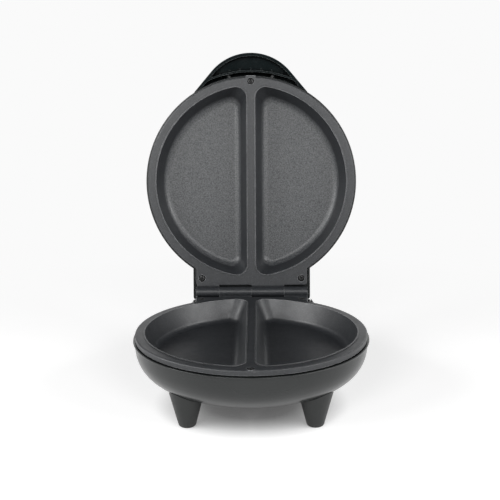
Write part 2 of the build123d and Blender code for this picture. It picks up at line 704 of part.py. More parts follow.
# ---- Controls and wiring ----
def thermostat():
    """Disc thermostat: cap against the plate, flange with two ears, body and two tags."""
    x, y = THERMOSTAT_SPOT
    top = PLATE_UNDERSIDE
    body = rod((x, y, top), (0, 0, -1), THERMOSTAT_RADIUS, THERMOSTAT_HEIGHT)
    body = chamfer(body.edges().group_by(Axis.Z)[0], 0.8)
    flange = SlotOverall(THERMOSTAT_EARS + 2 * SMALL_HEAD_RADIUS + 1, 2 * SMALL_HEAD_RADIUS + 1)
    ears = extrude(Pos(x, y, top) * flange, THERMOSTAT_FLANGE, dir=(0, 0, -1))
    part = body + ears
    for side in (-1, 1):
        part = part - rod((x + side * THERMOSTAT_EARS / 2, y, top), (0, 0, -1),
                          SMALL_SCREW_RADIUS + SCREW_CLEARANCE, THERMOSTAT_FLANGE)
    return part


def thermostat_screws():
    x, y = THERMOSTAT_SPOT
    one = mirror(screw(SMALL_HEAD_RADIUS, SMALL_HEAD_HEIGHT, SMALL_SCREW_RADIUS, THERMOSTAT_FLANGE),
                 about=Plane.XY)
    z = PLATE_UNDERSIDE - THERMOSTAT_FLANGE
    return [Pos(x + side * THERMOSTAT_EARS / 2, y, z) * one for side in (-1, 1)]


def thermal_fuse():
    """A small cartridge lying along Y against the plate."""
    x, y = FUSE_SPOT
    fuse = rod((x, y - FUSE_LENGTH / 2, PLATE_UNDERSIDE - FUSE_RADIUS), (0, 1, 0), FUSE_RADIUS, FUSE_LENGTH)
    return chamfer(fuse.edges(), 0.5)


def thermal_fuse_clip():
    """The strap that presses the cartridge to the plate."""
    x, y = FUSE_SPOT
    inside = FUSE_RADIUS + CLIP_FIT
    outside = inside + CLIP_SHEET
    width = (-CLIP_WIDTH / 2, CLIP_WIDTH / 2)
    top = PLATE_UNDERSIDE
    bottom = top - 2 * FUSE_RADIUS - CLIP_FIT
    feet = block((-outside - CLIP_FOOT, outside + CLIP_FOOT), width, (top - CLIP_SHEET, top))
    arch = block((-outside, outside), width, (bottom - CLIP_SHEET, top))
    return Pos(x, y, 0) * (feet + arch - block((-inside, inside), width, (bottom, top)))


def block_floor(half):
    return -half.housing_depth + half.wall


def block_front(half):
    return LEAD_START_Y + BLOCK_GAP


def terminal_block(half):
    """Three-way block on the housing's floor, with wire holes and screw wells."""
    width, length, height = half.block
    front = block_front(half)
    floor = block_floor(half)
    part = block((-width / 2, width / 2), (front, front + length), (floor, floor + height))
    part = fillet(part.edges().filter_by(Axis.Z), 1.0)
    for way in (-1, 0, 1):
        x = way * LEG_SPREAD
        part = part - rod((x, front, floor + height / 2), (0, 1, 0), LEAD_RADIUS + 0.4, length)
        part = part - rod((x, front + length / 2, floor + height), (0, 0, -1), 2.2, height / 2)
    return part


def terminal_screws(half):
    """The clamping screws in the block's wells, down on the wires' holes."""
    length, height = half.block[1:]
    top = block_floor(half) + height
    parts = []
    for way in (-1, 0, 1):
        spot = (way * LEG_SPREAD, block_front(half) + length / 2, top - height / 2)
        parts.append(rod(spot, (0, 0, 1), 2.1, height / 2 - 0.8))
    return parts


def leads(half):
    """Wires from the element's pins into the terminal block."""
    z_end = block_floor(half) + half.block[2] / 2
    parts = []
    for x in (-LEG_SPREAD, LEG_SPREAD):
        y = LEAD_START_Y
        run = BLOCK_GAP / 3
        path = FilletPolyline((x, y, ELEMENT_Z), (x, y + run, ELEMENT_Z),
                              (x, y + 2 * run, z_end), (x, y + 3 * run + 2, z_end), radius=LEAD_BEND)
        section = Plane(origin=(x, y, ELEMENT_Z), z_dir=(0, 1, 0)) * Circle(LEAD_RADIUS)
        parts.append(sweep(section, path=path))
    return parts


def cord_inlet_bush():
    """Rubber bush in the rear wall: a flange each side and a neck between."""
    x, y, z = cord_spot()
    outer = rod((x, y, z), (0, 1, 0), BUSH_FLANGE_RADIUS, BUSH_FLANGE)
    outer = fillet(outer.edges().group_by(Axis.Y)[-1], 0.4 * BUSH_FLANGE)
    neck = rod((x, y, z), (0, -1, 0), BUSH_NECK_RADIUS, BASE_WALL)
    inner = rod((x, y - BASE_WALL, z), (0, -1, 0), BUSH_FLANGE_RADIUS, BUSH_FLANGE)
    length = BASE_WALL + 2 * BUSH_FLANGE
    bore = rod((x, y + BUSH_FLANGE, z), (0, -1, 0), CORD_HOLE_RADIUS, length)
    return outer + neck + inner - bore


# ---- Feet and pin ----
def foot(x, y, outside):
    """A round cone under the casing, a shadow gap round its top."""
    height = SEAM_HEIGHT - BASE_HOUSING_DEPTH / 2
    spread = height * sin(radians(FOOT_HALF_ANGLE)) / cos(radians(FOOT_HALF_ANGLE))
    cone = Pos(x, y, -SEAM_HEIGHT + height / 2) * Cone(FOOT_RADIUS, FOOT_RADIUS + spread, height)
    cone = fillet(cone.edges().group_by(Axis.Z)[0], FOOT_ROUND)
    body = cone - Pos(0, 0, -FOOT_JOINT) * outside
    pad = rod((x, y, -SEAM_HEIGHT + FOOT_ROUND), (0, 0, 1), FOOT_PAD_RADIUS, height - FOOT_ROUND) - outside
    body = keep_lowest(body) + keep_lowest(pad)
    seat = foot_seat_z(y, hypot(x, y))
    return body - rod((x, y, seat), (0, 0, -1), SCREW_RADIUS + SCREW_CLEARANCE, foot_screw_length(y) + 1)


def keep_lowest(shape):
    """The lowest of the pieces that a cut leaves."""
    return shape.solids().sort_by(Axis.Z)[0]


def foot_screw_length(y):
    """Long enough for the seat, the wall and a thread in the foot."""
    wall = BASE_WALL + BOSS_WALL
    return SCREW_LENGTH + wall + (0 if y > HOUSING_FRONT else BOSS_WALL)


def foot_screws():
    parts = []
    for _, x, y in foot_spots():
        one = screw(SCREW_HEAD_RADIUS, SCREW_HEAD_HEIGHT, SCREW_RADIUS, foot_screw_length(y))
        parts.append(Pos(x, y, foot_seat_z(y, hypot(x, y))) * one)
    return parts


def hinge_pin():
    reach = KNUCKLE_OUTER + END_LUG - 0.1
    pin = rod((-reach, HINGE_Y, HINGE_Z), (1, 0, 0), PIN_RADIUS, 2 * reach)
    return chamfer(pin.edges(), 0.4)


# ---- Lid's own pieces ----
def crescent(inset, depth, keep_out):
    """Space between the handle's outline and a circle round the lid, down to a depth."""
    radius = HANDLE_RADIUS - inset
    wide = HANDLE_HALF_WIDTH - inset
    turn = radians(HANDLE_ARC)
    tangent_x = radius * sin(turn)
    tangent_y = -HANDLE_CENTRE - radius * cos(turn)
    end_y = tangent_y + (wide - tangent_x) * sin(turn) / cos(turn)
    sides = make_face(Polyline(
        (-wide, -HANDLE_CENTRE), (-wide, end_y), (-tangent_x, tangent_y),
        (tangent_x, tangent_y), (wide, end_y), (wide, -HANDLE_CENTRE), close=True,
    ).edges())
    plan = sides + Pos(0, -HANDLE_CENTRE) * Circle(radius) - Circle(keep_out)
    return extrude(plan, depth, dir=(0, 0, -1))


def handle_rib(angle):
    """One rib: full height at the ridge, running out on the hollow's floor."""
    start = RIDGE_RADIUS + RIDGE_WIDTH / 2
    end = start + RIB_REACH
    side = -RIB_WIDTH / 2
    floor = -HANDLE_TIP_DEPTH + HANDLE_WALL
    outline = Polyline((start, side, floor - 1), (start, side, -RIB_DROP), (end, side, floor),
                       (end, side, floor - 1), close=True)
    rib = extrude(make_face(outline.edges()), RIB_WIDTH, dir=(0, 1, 0))
    return Rot(0, 0, -90 + angle) * rib


def handle_underside():
    """All that lies below the handle's sloping underside."""
    reach = HANDLE_CENTRE + HANDLE_RADIUS - RIM_RADIUS
    tilt = degrees(atan((HANDLE_DEPTH - HANDLE_TIP_DEPTH) / reach))
    below = Pos(0, 0, -HANDLE_DEPTH) * Box(4 * HANDLE_HALF_WIDTH, 2 * RIM_RADIUS, 2 * HANDLE_DEPTH)
    return Pos(0, -RIM_RADIUS, -HANDLE_DEPTH) * Rot(-tilt, 0, 0) * below


def is_lower_rim(edge):
    """Whether an edge runs round the outside of the handle's underside."""
    middle = edge @ 0.5
    outside = hypot(middle.X, middle.Y) > RIM_RADIUS + RIDGE_GAP / 2
    return outside and middle.Z < -RIM_HEIGHT and abs((edge % 0.5).Z) < 0.5


def lid_handle():
    body = crescent(0, HANDLE_DEPTH, RIM_RADIUS - 2 * RIM_LIP - LID_WALL) - handle_underside()
    body = fillet(body.edges().filter_by(is_lower_rim), HANDLE_EDGE_ROUND)
    body = body - crescent(HANDLE_WALL, HANDLE_TIP_DEPTH - HANDLE_WALL, RIDGE_RADIUS + RIDGE_WIDTH)
    gap = crescent(HANDLE_WALL, HANDLE_GAP_DEPTH, RIM_RADIUS - RIM_LIP)
    body = body - (gap & rod((0, 0, 0), (0, 0, -1), RIDGE_RADIUS, HANDLE_GAP_DEPTH))
    for index in range(RIB_COUNT):
        body = body + handle_rib((index - (RIB_COUNT - 1) / 2) * RIB_PITCH)
    for start, out in handle_screw_lines():
        body = body + rod(start, out, SCREW_RADIUS + BOSS_WALL, HANDLE_SCREW_LENGTH)
    edge_space = rod((0, 0, RIM_HEIGHT), (0, 0, -1), RIM_RADIUS + HANDLE_FIT, 2 * RIM_HEIGHT + HANDLE_FIT)
    body = body - casing_outside(LID) - edge_space
    for start, out in handle_screw_lines():
        body = body - rod(start, out, SCREW_RADIUS + SCREW_CLEARANCE, HANDLE_SCREW_LENGTH)
    return body


def handle_screws():
    one = screw(SCREW_HEAD_RADIUS, SCREW_HEAD_HEIGHT, SCREW_RADIUS, HANDLE_SCREW_LENGTH)
    parts = []
    for start, out in handle_screw_lines():
        inward = (-out[0], -out[1], 0)
        parts.append(Plane(origin=start, z_dir=inward).location * one)
    return parts


def indicator_lens(spot):
    """A domed window in the lid's top, held by a flange inside."""
    x, y = spot
    top = -LID_DEPTH
    inner = top + LID_WALL
    barrel = rod((x, y, top - LENS_RISE), (0, 0, 1), LENS_RADIUS, LID_WALL + LENS_RISE)
    barrel = fillet(barrel.edges().group_by(Axis.Z)[0], 0.8 * LENS_RISE)
    return barrel + rod((x, y, inner), (0, 0, 1), LENS_RADIUS + 1.2, LENS_FLANGE)


def indicator_lamps():
    """Small tube lamps lying under the windows."""
    z = -LID_DEPTH + LID_WALL + LENS_FLANGE + LAMP_RADIUS
    parts = []
    for x, y in lens_spots():
        lamp = rod((x, y - LAMP_LENGTH / 2, z), (0, 1, 0), LAMP_RADIUS, LAMP_LENGTH)
        parts.append(chamfer(lamp.edges(), 0.3))
    return parts


# ---- Assembly ----
def in_base(shape):
    return Pos(0, 0, SEAM_HEIGHT) * shape


def in_lid(shape):
    """Flip a piece over onto the base, then turn it open about the hinge."""
    closed = Pos(0, 0, LID_SEAM_Z) * mirror(shape, about=Plane.XY)
    return closed.rotate(HINGE_AXIS, -OPEN_ANGLE)


def base_pieces():
    outside = casing_outside(BASE)
    pieces = {
        "base_shell": base_shell(),
        "base_plate": cooking_plate(BASE, base_knuckles()),
        "base_heating_element": heating_element(),
        "base_element_terminals": element_terminals(),
        "base_element_clips": element_clips(),
        "base_heat_shield": heat_shield(BASE),
        "base_shield_screws": shield_screws(BASE),
        "base_plate_screws": plate_screws(),
        "thermostat": thermostat(),
        "thermostat_screws": thermostat_screws(),
        "thermal_fuse": thermal_fuse(),
        "thermal_fuse_clip": thermal_fuse_clip(),
        "terminal_block": terminal_block(BASE),
        "terminal_screws": terminal_screws(BASE),
        "base_leads": leads(BASE),
        "cord_inlet_bush": cord_inlet_bush(),
        "foot_screws": foot_screws(),
        "hinge_pin": hinge_pin(),
    }
    for name, x, y in foot_spots():
        pieces[name] = foot(x, y, outside)
    return pieces


def lid_pieces():
    left, right = lens_spots()
    return {
        "lid_shell": lid_shell(),
        "lid_plate": cooking_plate(LID, lid_knuckles()),
        "lid_heating_element": heating_element(),
        "lid_element_terminals": element_terminals(),
        "lid_element_clips": element_clips(),
        "lid_heat_shield": heat_shield(LID),
        "lid_shield_screws": shield_screws(LID),
        "lid_plate_screws": plate_screws(),
        "lid_terminal_block": terminal_block(LID),
        "lid_terminal_screws": terminal_screws(LID),
        "lid_leads": leads(LID),
        "lid_handle": lid_handle(),
        "handle_screws": handle_screws(),
        "power_lens": indicator_lens(left),
        "ready_lens": indicator_lens(right),
        "indicator_lamps": indicator_lamps(),
    }


def write(name, piece, place):
    """One STEP file for a piece, or for a group of like pieces."""
    parts = piece if isinstance(piece, list) else [piece]
    solids = [solid for part in parts for solid in place(part).solids()]
    shape = solids[0] if len(solids) == 1 else Compound(children=solids)
    shape.label = name
    export_step(shape, f"parts/{name}.step")


os.makedirs("parts", exist_ok=True)
for node, made in base_pieces().items():
    write(node, made, in_base)
for node, made in lid_pieces().items():
    write(node, made, in_lid)
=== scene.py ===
import bpy
import json
from math import cos, pi, radians, sin
from mathutils import Matrix, Vector

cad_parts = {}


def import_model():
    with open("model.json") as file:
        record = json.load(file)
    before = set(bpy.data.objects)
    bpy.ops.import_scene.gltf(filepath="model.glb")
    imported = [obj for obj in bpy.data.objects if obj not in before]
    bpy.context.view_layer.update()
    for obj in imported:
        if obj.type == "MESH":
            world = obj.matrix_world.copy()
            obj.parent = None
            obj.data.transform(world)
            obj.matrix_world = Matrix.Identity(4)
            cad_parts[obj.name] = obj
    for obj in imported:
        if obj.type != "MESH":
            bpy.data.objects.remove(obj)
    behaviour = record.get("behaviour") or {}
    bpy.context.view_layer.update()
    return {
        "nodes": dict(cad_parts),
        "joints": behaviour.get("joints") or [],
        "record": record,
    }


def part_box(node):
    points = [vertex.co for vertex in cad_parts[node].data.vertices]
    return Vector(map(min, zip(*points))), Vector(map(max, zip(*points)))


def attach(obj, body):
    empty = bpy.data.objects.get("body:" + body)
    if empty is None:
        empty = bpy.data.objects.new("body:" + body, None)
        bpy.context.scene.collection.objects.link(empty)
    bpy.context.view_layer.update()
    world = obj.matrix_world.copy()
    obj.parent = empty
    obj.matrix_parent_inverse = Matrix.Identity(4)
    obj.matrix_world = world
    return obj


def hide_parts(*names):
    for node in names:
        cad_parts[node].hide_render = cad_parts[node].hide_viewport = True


# Looks of an electric omelette maker, lid open. Metres. The frame is the model's own: the origin
# is on the table under the middle of the base, +X is the user's right and +Y points to the hinge.

# ---- Camera, fitted to the photograph's outlines ----
CAMERA_TARGET = Vector((0, 0, 0.1502))
CAMERA_DISTANCE = 0.91355
CAMERA_AZIMUTH = 0.41          # degrees
CAMERA_ELEVATION = 13.63
CAMERA_ROLL = 0.38
CAMERA_LENS = 70.46            # mm, as is the sensor's width
CAMERA_SENSOR = 36
CAMERA_SHIFT_X = -0.00134
CAMERA_CLIP_END = 20

# ---- Backdrop and reflections ----
BACKGROUND = 0.956             # the pale backdrop, as the camera sees it
AMBIENT = 0.16                 # all-round light on matt surfaces, at the horizon
ZENITH = 0.10                  # the dark ceiling, as a share of the horizon's light
CEILING_START = 0.25           # height of a direction at which the ceiling starts
CEILING_END = 0.85
FRONT_REFLECTION = 0.06        # the dim room behind the camera, in reflections
FRONT_START = -0.75            # how far forwards a direction points where that room is dimmest
FRONT_END = -0.1

# ---- Lamps, in pairs to the left and the right ----
LAMP_TARGET = (0, 0.05, 0.14)
KEY_PLACE = (0.80, -2.05, 1.15)
KEY_SIZE = (0.8, 0.6)
KEY_POWER = 17.0
SIDE_PLACE = (1.95, -0.85, 1.15)
SIDE_SIZE = (1.5, 0.7)
SIDE_POWER = 27.0
LEFT_SHARE = 1.08              # lamps on the left against the middle level

# ---- Floor ----
FLOOR_SIZE = 8.0
FLOOR_COLOR = 0.8
FLOOR_MOTTLE = 1.01            # its palest spots against that
FLOOR_GAIN = 1.8               # the floor's colour in the picture alone
FLOOR_GLOW = 0.6               # share of its level that lamps and their shadows leave alone
FADE_START = 0.22              # distance at which the lit floor runs out into the backdrop
FADE_END = 0.6
SHADOW_REACH = 0.05            # how far the floor looks for what stands over it
SHADOW_START = 0.044           # distance from the middle where that shadow starts to fade
SHADOW_END = 0.095
SHADOW_DEPTH = 1.0

# ---- Screw heads ----
HEAD_HEIGHT = 0.0018
HEAD_DOME = 0.00035            # rise of the top towards its middle
HEAD_ROUND = 0.35              # rounded edge, as a share of the height
HEAD_SEGMENTS = 72
HEAD_RINGS = 16
HEAD_TURNS = (20, 65, 40, 5, 75, 30)  # degrees, the base's three and the lid's three
CROSS_REACH = 0.66             # arms of the cross recess, as shares of the head's radius
CROSS_WIDTH = 0.20
CROSS_FLARE = 1.15             # width of an arm in the middle against CROSS_WIDTH
CROSS_TAPER = 0.35             # what it loses of that by its end
CROSS_DEPTH = 0.0014
FRONT_SCREW_REACH = 0.02       # more than a head's width, less than the way to the rear screws
MID_PLANE = 0.0733             # halfway between the two plates, lid closed

# ---- Wear, painted shade and painted light ----
FLOOR_DEPTH = 0.0212           # the lid's well floors below the lips
RUB_AND_LIGHT_START = 0.0016             # height over the floors at which their speckled wear and painted light start
RUB_AND_LIGHT_FULL = 0.0002
CREVICE_REACH = 0.0025         # how near a neighbour makes a crevice, which gets painted shade
CASING_CREVICE = 0.0012
GRIP_CREVICE = 0.006
SCREW_CREVICE = 0.0015
EDGE_REACH = 0.0007            # width of an edge lightened as wear and painted highlight
BARREL_REACH = 0.0065          # what lies nearer to the hinge's axis is a knuckle
BARREL_WEAR_AND_HIGHLIGHT = 0.35             # wear and painted highlight on the knuckles' edges against the plates'
# rim colours: edge wear and painted highlight on the casings' rims
BASE_RIM_WEAR_AND_HIGHLIGHT = (0.06, 0.062, 0.062)
LID_RIM_WEAR_AND_HIGHLIGHT = (0.34, 0.35, 0.36)


# ---- The open lid ----
def open_lid_matrix():
    """Moves a point of the closed lid to where the open lid has it."""
    joint = frame["joints"][0]
    pivot = Matrix.Translation(Vector(joint["pos_m"]))
    turn = Matrix.Rotation(-radians(joint["range_deg"][1]), 4, Vector(joint["axis"]))
    return pivot @ turn @ pivot.inverted()


# ---- Shader building ----
class Nodes:
    """A node tree, with short ways to add the few kinds of node that are used."""

    def __init__(self, tree):
        self.nodes = tree.nodes
        self.links = tree.links

    def join(self, value, socket):
        """A plain value or another node's output into a socket."""
        if isinstance(value, bpy.types.NodeSocket):
            self.links.new(value, socket)
        else:
            socket.default_value = value

    def add(self, kind, inputs=None, **settings):
        node = self.nodes.new("ShaderNode" + kind)
        for name, value in settings.items():
            setattr(node, name, value)
        for socket, value in (inputs or {}).items():
            self.join(value, node.inputs[socket])
        return node

    def math(self, operation, first, second):
        return self.add("Math", {0: first, 1: second}, operation=operation).outputs["Value"]

    def vector_math(self, operation, *vectors):
        """A number from one or two vectors."""
        return self.add("VectorMath", dict(enumerate(vectors)), operation=operation).outputs["Value"]

    def fit(self, source, from_low, from_high, to_low, to_high, curve="LINEAR"):
        """A value moved from one range to another and kept inside it."""
        inputs = {
            "Value": source,
            "From Min": from_low,
            "From Max": from_high,
            "To Min": to_low,
            "To Max": to_high,
        }
        return self.add("MapRange", inputs, interpolation_type=curve).outputs["Result"]

    def mix(self, factor, first, second):
        """Two colours, or a colour and another mix, blended by a factor."""
        inputs = {"Fac": factor}
        for socket, value in (("Color1", first), ("Color2", second)):
            inputs[socket] = (*value, 1) if isinstance(value, tuple) else value
        return self.add("MixRGB", inputs).outputs["Color"]

    def blend(self, factor, first, second):
        """Two shaders blended by a factor."""
        return self.add("MixShader", {"Fac": factor, 1: first, 2: second}).outputs["Shader"]

    def seen_in_picture(self):
        """1 for what the camera sees, directly, in a reflection or through glass."""
        path = self.add("LightPath").outputs
        total = path["Is Camera Ray"]
        for name in ("Is Glossy Ray", "Is Transmission Ray"):
            total = self.math("MAXIMUM", total, path[name])
        return total


class Finish(Nodes):
    """A material on a Principled surface."""

    def __init__(self, name):
        self.material = bpy.data.materials.new(name)
        self.material.use_nodes = True
        super().__init__(self.material.node_tree)
        self.surface = self.nodes["Principled BSDF"]
        self.place = self.add("TexCoord").outputs["Object"]

    def set(self, **values):
        """Plain values on the surface's sockets: roughness=0.4 sets Roughness."""
        for key, value in values.items():
            self.surface.inputs[key.replace("_", " ").title().replace("Ior", "IOR")].default_value = value

    def feed(self, socket, source):
        self.links.new(source, self.surface.inputs[socket])

    def stretched(self, x, y, z):
        """The object's own coordinates, scaled along each axis."""
        return self.add("Mapping", {"Vector": self.place, "Scale": (x, y, z)}).outputs["Vector"]

    def noise(self, grain, detail, roughness=0.5, distortion=0.0, place=None):
        """Noise whose lumps are about grain metres across."""
        inputs = {
            "Vector": place or self.place,
            "Scale": 1 / grain,
            "Detail": detail,
            "Roughness": roughness,
            "Distortion": distortion,
        }
        return self.add("TexNoise", inputs).outputs["Fac"]

    def flecks(self, spacing):
        """Distance to the nearest of scattered points, 0 at a point."""
        return self.add("TexVoronoi", {"Vector": self.place, "Scale": 1 / spacing}).outputs["Distance"]

    def open_air(self, reach=CREVICE_REACH):
        """1 on open surface, falling to 0 in grooves and close inner corners, where shade is painted."""
        cover = self.add("AmbientOcclusion", {"Distance": reach}, samples=6)
        return self.fit(cover.outputs["AO"], 0.35, 0.85, 0, 1)

    def edges(self, air):
        """1 on sharp outer edges and small rounds, 0 elsewhere."""
        here = self.add("NewGeometry").outputs["Normal"]
        rounded = self.add("Bevel", {"Radius": EDGE_REACH}, samples=4).outputs["Normal"]
        turned = self.vector_math("DOT_PRODUCT", here, rounded)
        return self.math("MULTIPLY", self.fit(turned, 0.80, 0.99, 1, 0), air)

    def off_barrels(self):
        """1 on the plates, less on the hinge's knuckles, which get less edge wear and painted highlight.
        """
        _, y, z = frame["joints"][0]["pos_m"]
        away = self.vector_math("DISTANCE", self.stretched(0, 1, 1), (0, y, z))
        return self.fit(away, BARREL_REACH, BARREL_REACH + 0.001, BARREL_WEAR_AND_HIGHLIGHT, 1)

    def paint_crevice_shade(self, air, color):
        """Painted shade: colour darkened and shine lowered in crevices and close inner corners."""
        self.feed("Base Color", self.mix(air, (0.002, 0.002, 0.002), color))
        self.feed("Specular IOR Level", self.fit(air, 0, 1, 0.06, 0.5))

    def bump(self, height, distance, strength, below=None):
        """A normal raised by a height, over another bump if one is given."""
        inputs = {"Height": height, "Distance": distance, "Strength": strength}
        if below is not None:
            inputs["Normal"] = below
        return self.add("Bump", inputs).outputs["Normal"]


# ---- Materials ----
def nonstick_coating(name, depth_axis=None, floor_depth=0.0):
    """Dark grey sprayed coating on cast aluminium: fine flecks, orange peel, lips lightened as wear and
    painted highlight.

    With a depth axis, what lies deeper than the floor along it is lighter, as speckled wear and painted
    light."""
    f = Finish(name)
    mottle = f.fit(f.noise(0.02, 4, 0.6), 0.35, 0.65, 0, 1)
    body = f.mix(mottle, (0.0115, 0.0132, 0.0160), (0.0160, 0.0180, 0.0212))
    grain = f.fit(f.noise(0.0011, 3, 0.65), 0.42, 0.72, 0, 1)
    body = f.mix(grain, body, (0.036, 0.038, 0.041))
    fleck = f.fit(f.flecks(0.0016), 0.10, 0.24, 1, 0)
    body = f.mix(f.math("MULTIPLY", fleck, 0.4), body, (0.15, 0.155, 0.16))
    if depth_axis is not None:
        depth = f.vector_math("DOT_PRODUCT", f.place, depth_axis)
        # painted light: the well floors lightened, with speckled wear
        rubbed_and_painted_light = f.fit(depth, floor_depth - RUB_AND_LIGHT_START, floor_depth - RUB_AND_LIGHT_FULL, 0, 1)
        speckle = f.fit(f.noise(0.0010, 2, 0.6), 0.38, 0.62, 0, 1)
        body = f.mix(f.math("MULTIPLY", rubbed_and_painted_light, speckle), body, (0.104, 0.108, 0.112))
    # painted shade: crevices darkened in colour and shine, below
    air = f.open_air()
    # lips and edges lightened as wear and painted highlight
    worn_and_highlit = f.math("MULTIPLY", f.edges(air), f.fit(f.noise(0.006, 3), 0.35, 0.65, 0.55, 1.0))
    worn_and_highlit = f.math("MULTIPLY", worn_and_highlit, f.off_barrels())
    f.paint_crevice_shade(air, f.mix(worn_and_highlit, body, (0.42, 0.43, 0.44)))
    f.feed("Roughness", f.fit(f.noise(0.009, 4), 0.3, 0.7, 0.37, 0.44))
    peel = f.bump(f.noise(0.0016, 2), 0.00006, 0.4)
    f.feed("Normal", f.bump(f.noise(0.0006, 2), 0.00003, 0.5, peel))
    f.set(ior=1.62)
    return f.material


def lid_coating():
    """The lid plate's coating, its well floors lighter as speckled wear and painted light."""
    into_wells = open_lid_matrix().to_3x3() @ Vector((0, 0, 1))
    depths = [into_wells.dot(v.co) for v in frame["nodes"]["lid_plate"].data.vertices]
    return nonstick_coating("nonstick_coating_lid", into_wells, min(depths) + FLOOR_DEPTH)


def casing_plastic(name, rim_wear_and_highlight_color):
    """Satin charcoal moulding with a fine eroded grain, its rim lightened as wear and painted highlight.
    """
    f = Finish(name)
    drift = f.fit(f.noise(0.05, 3), 0.35, 0.65, 0, 1)
    body = f.mix(drift, (0.012, 0.0138, 0.0138), (0.016, 0.018, 0.0178))
    dust = f.fit(f.noise(0.0012, 4, 0.7), 0.62, 0.78, 0, 0.15)
    body = f.mix(dust, body, (0.05, 0.052, 0.05))
    # painted shade: crevices darkened in colour and shine, below
    air = f.open_air(CASING_CREVICE)
    # rim edges lightened as wear and painted highlight
    rubbed_and_painted_light = f.math("MULTIPLY", f.edges(air), f.fit(f.noise(0.004, 3), 0.35, 0.65, 0.5, 1.0))
    f.paint_crevice_shade(air, f.mix(rubbed_and_painted_light, body, rim_wear_and_highlight_color))
    f.feed("Roughness", f.fit(f.noise(0.013, 5, 0.6), 0.3, 0.7, 0.20, 0.26))
    swell = f.bump(f.noise(0.03, 1), 0.0002, 0.12)
    f.feed("Normal", f.bump(f.noise(0.0005, 3), 0.00002, 0.3, swell))
    f.set(ior=1.5)
    return f.material


def grip_plastic():
    """Polished near-black moulding, its edges lightened as wear by use and painted highlight."""
    f = Finish("grip_plastic")
    drift = f.fit(f.noise(0.02, 3), 0.35, 0.65, 0, 1)
    body = f.mix(drift, (0.0025, 0.0052, 0.0058), (0.0040, 0.0075, 0.0083))
    # painted shade: crevices darkened in colour and shine, below
    air = f.open_air(GRIP_CREVICE)
    # edges lightened as wear and painted highlight
    dulled_and_highlit = f.math("MULTIPLY", f.edges(air), f.fit(f.noise(0.004, 3), 0.3, 0.7, 0.5, 1.0))
    f.paint_crevice_shade(air, f.mix(dulled_and_highlit, body, (0.16, 0.17, 0.17)))
    f.feed("Roughness", f.fit(f.noise(0.012, 5, 0.65, 0.4), 0.3, 0.7, 0.12, 0.18))
    f.feed("Normal", f.bump(f.noise(0.0007, 2), 0.000008, 0.25))
    f.set(ior=1.38)
    return f.material


def foot_plastic():
    """Matt moulding, scuffed near the table."""
    f = Finish("foot_plastic")
    body = f.mix(f.noise(0.015, 3), (0.019, 0.0205, 0.0202), (0.025, 0.0265, 0.026))
    height = f.add("SeparateXYZ", {"Vector": f.place}).outputs["Z"]
    low = f.fit(height, 0.0, 0.006, 1, 0)
    scuff = f.math("MULTIPLY", low, f.fit(f.noise(0.0016, 4, 0.7), 0.45, 0.6, 0, 0.6))
    # painted shade: crevices darkened in colour and shine
    f.paint_crevice_shade(f.open_air(), f.mix(scuff, body, (0.08, 0.08, 0.077)))
    f.feed("Roughness", f.fit(f.noise(0.004, 4), 0.3, 0.7, 0.42, 0.52))
    f.feed("Normal", f.bump(f.noise(0.0006, 3), 0.00003, 0.35))
    f.set(ior=1.42)
    return f.material


def screw_black():
    """Blackened screw steel, its recess edges lightened as driver wear and painted highlight."""
    f = Finish("screw_black")
    stain = f.fit(f.noise(0.0012, 4, 0.6), 0.35, 0.65, 0, 1)
    body = f.mix(stain, (0.007, 0.0075, 0.008), (0.015, 0.0155, 0.016))
    # painted shade: the cross recess and crevices darkened in colour and shine
    air = f.open_air(SCREW_CREVICE)
    # edges lightened as driver wear and painted highlight
    f.paint_crevice_shade(air, f.mix(f.math("MULTIPLY", f.edges(air), 0.5), body, (0.22, 0.22, 0.22)))
    f.feed("Roughness", f.fit(f.noise(0.0008, 3), 0.3, 0.7, 0.3, 0.45))
    f.feed("Normal", f.bump(f.noise(0.0003, 2), 0.00001, 0.3))
    f.set(metallic=0.25)
    return f.material


def metal(name, dark, light, roughness):
    """Plain or plated metal with a grain drawn along z and a stained surface."""
    f = Finish(name)
    drawn = f.noise(0.0004, 3, place=f.stretched(1, 1, 0.08))
    stain = f.fit(f.noise(0.008, 4, 0.6), 0.4, 0.7, 0, 1)
    body = f.mix(drawn, dark, light)
    f.feed("Base Color", f.mix(f.math("MULTIPLY", stain, 0.3), body, dark))
    f.feed("Roughness", f.fit(drawn, 0.3, 0.7, roughness - 0.06, roughness + 0.1))
    f.feed("Normal", f.bump(drawn, 0.00001, 0.3))
    f.set(metallic=1.0)
    return f.material


def matt(name, dark, light, roughness, grain=0.002):
    """A plain moulded, fired or rubbery surface."""
    f = Finish(name)
    f.feed("Base Color", f.mix(f.fit(f.noise(grain * 6, 4, 0.6), 0.35, 0.65, 0, 1), dark, light))
    f.feed("Roughness", f.fit(f.noise(grain * 2, 3), 0.3, 0.7, roughness - 0.06, roughness + 0.06))
    f.feed("Normal", f.bump(f.noise(grain / 4, 3), 0.00003, 0.4))
    return f.material


def lens(name, deep, bright):
    """Clear coloured window, slightly clouded."""
    f = Finish(name)
    f.feed("Base Color", f.mix(f.noise(0.003, 3), deep, bright))
    f.feed("Roughness", f.fit(f.noise(0.0015, 3), 0.3, 0.7, 0.05, 0.16))
    f.feed("Normal", f.bump(f.noise(0.0006, 2), 0.00002, 0.3))
    f.set(transmission_weight=0.55)
    return f.material


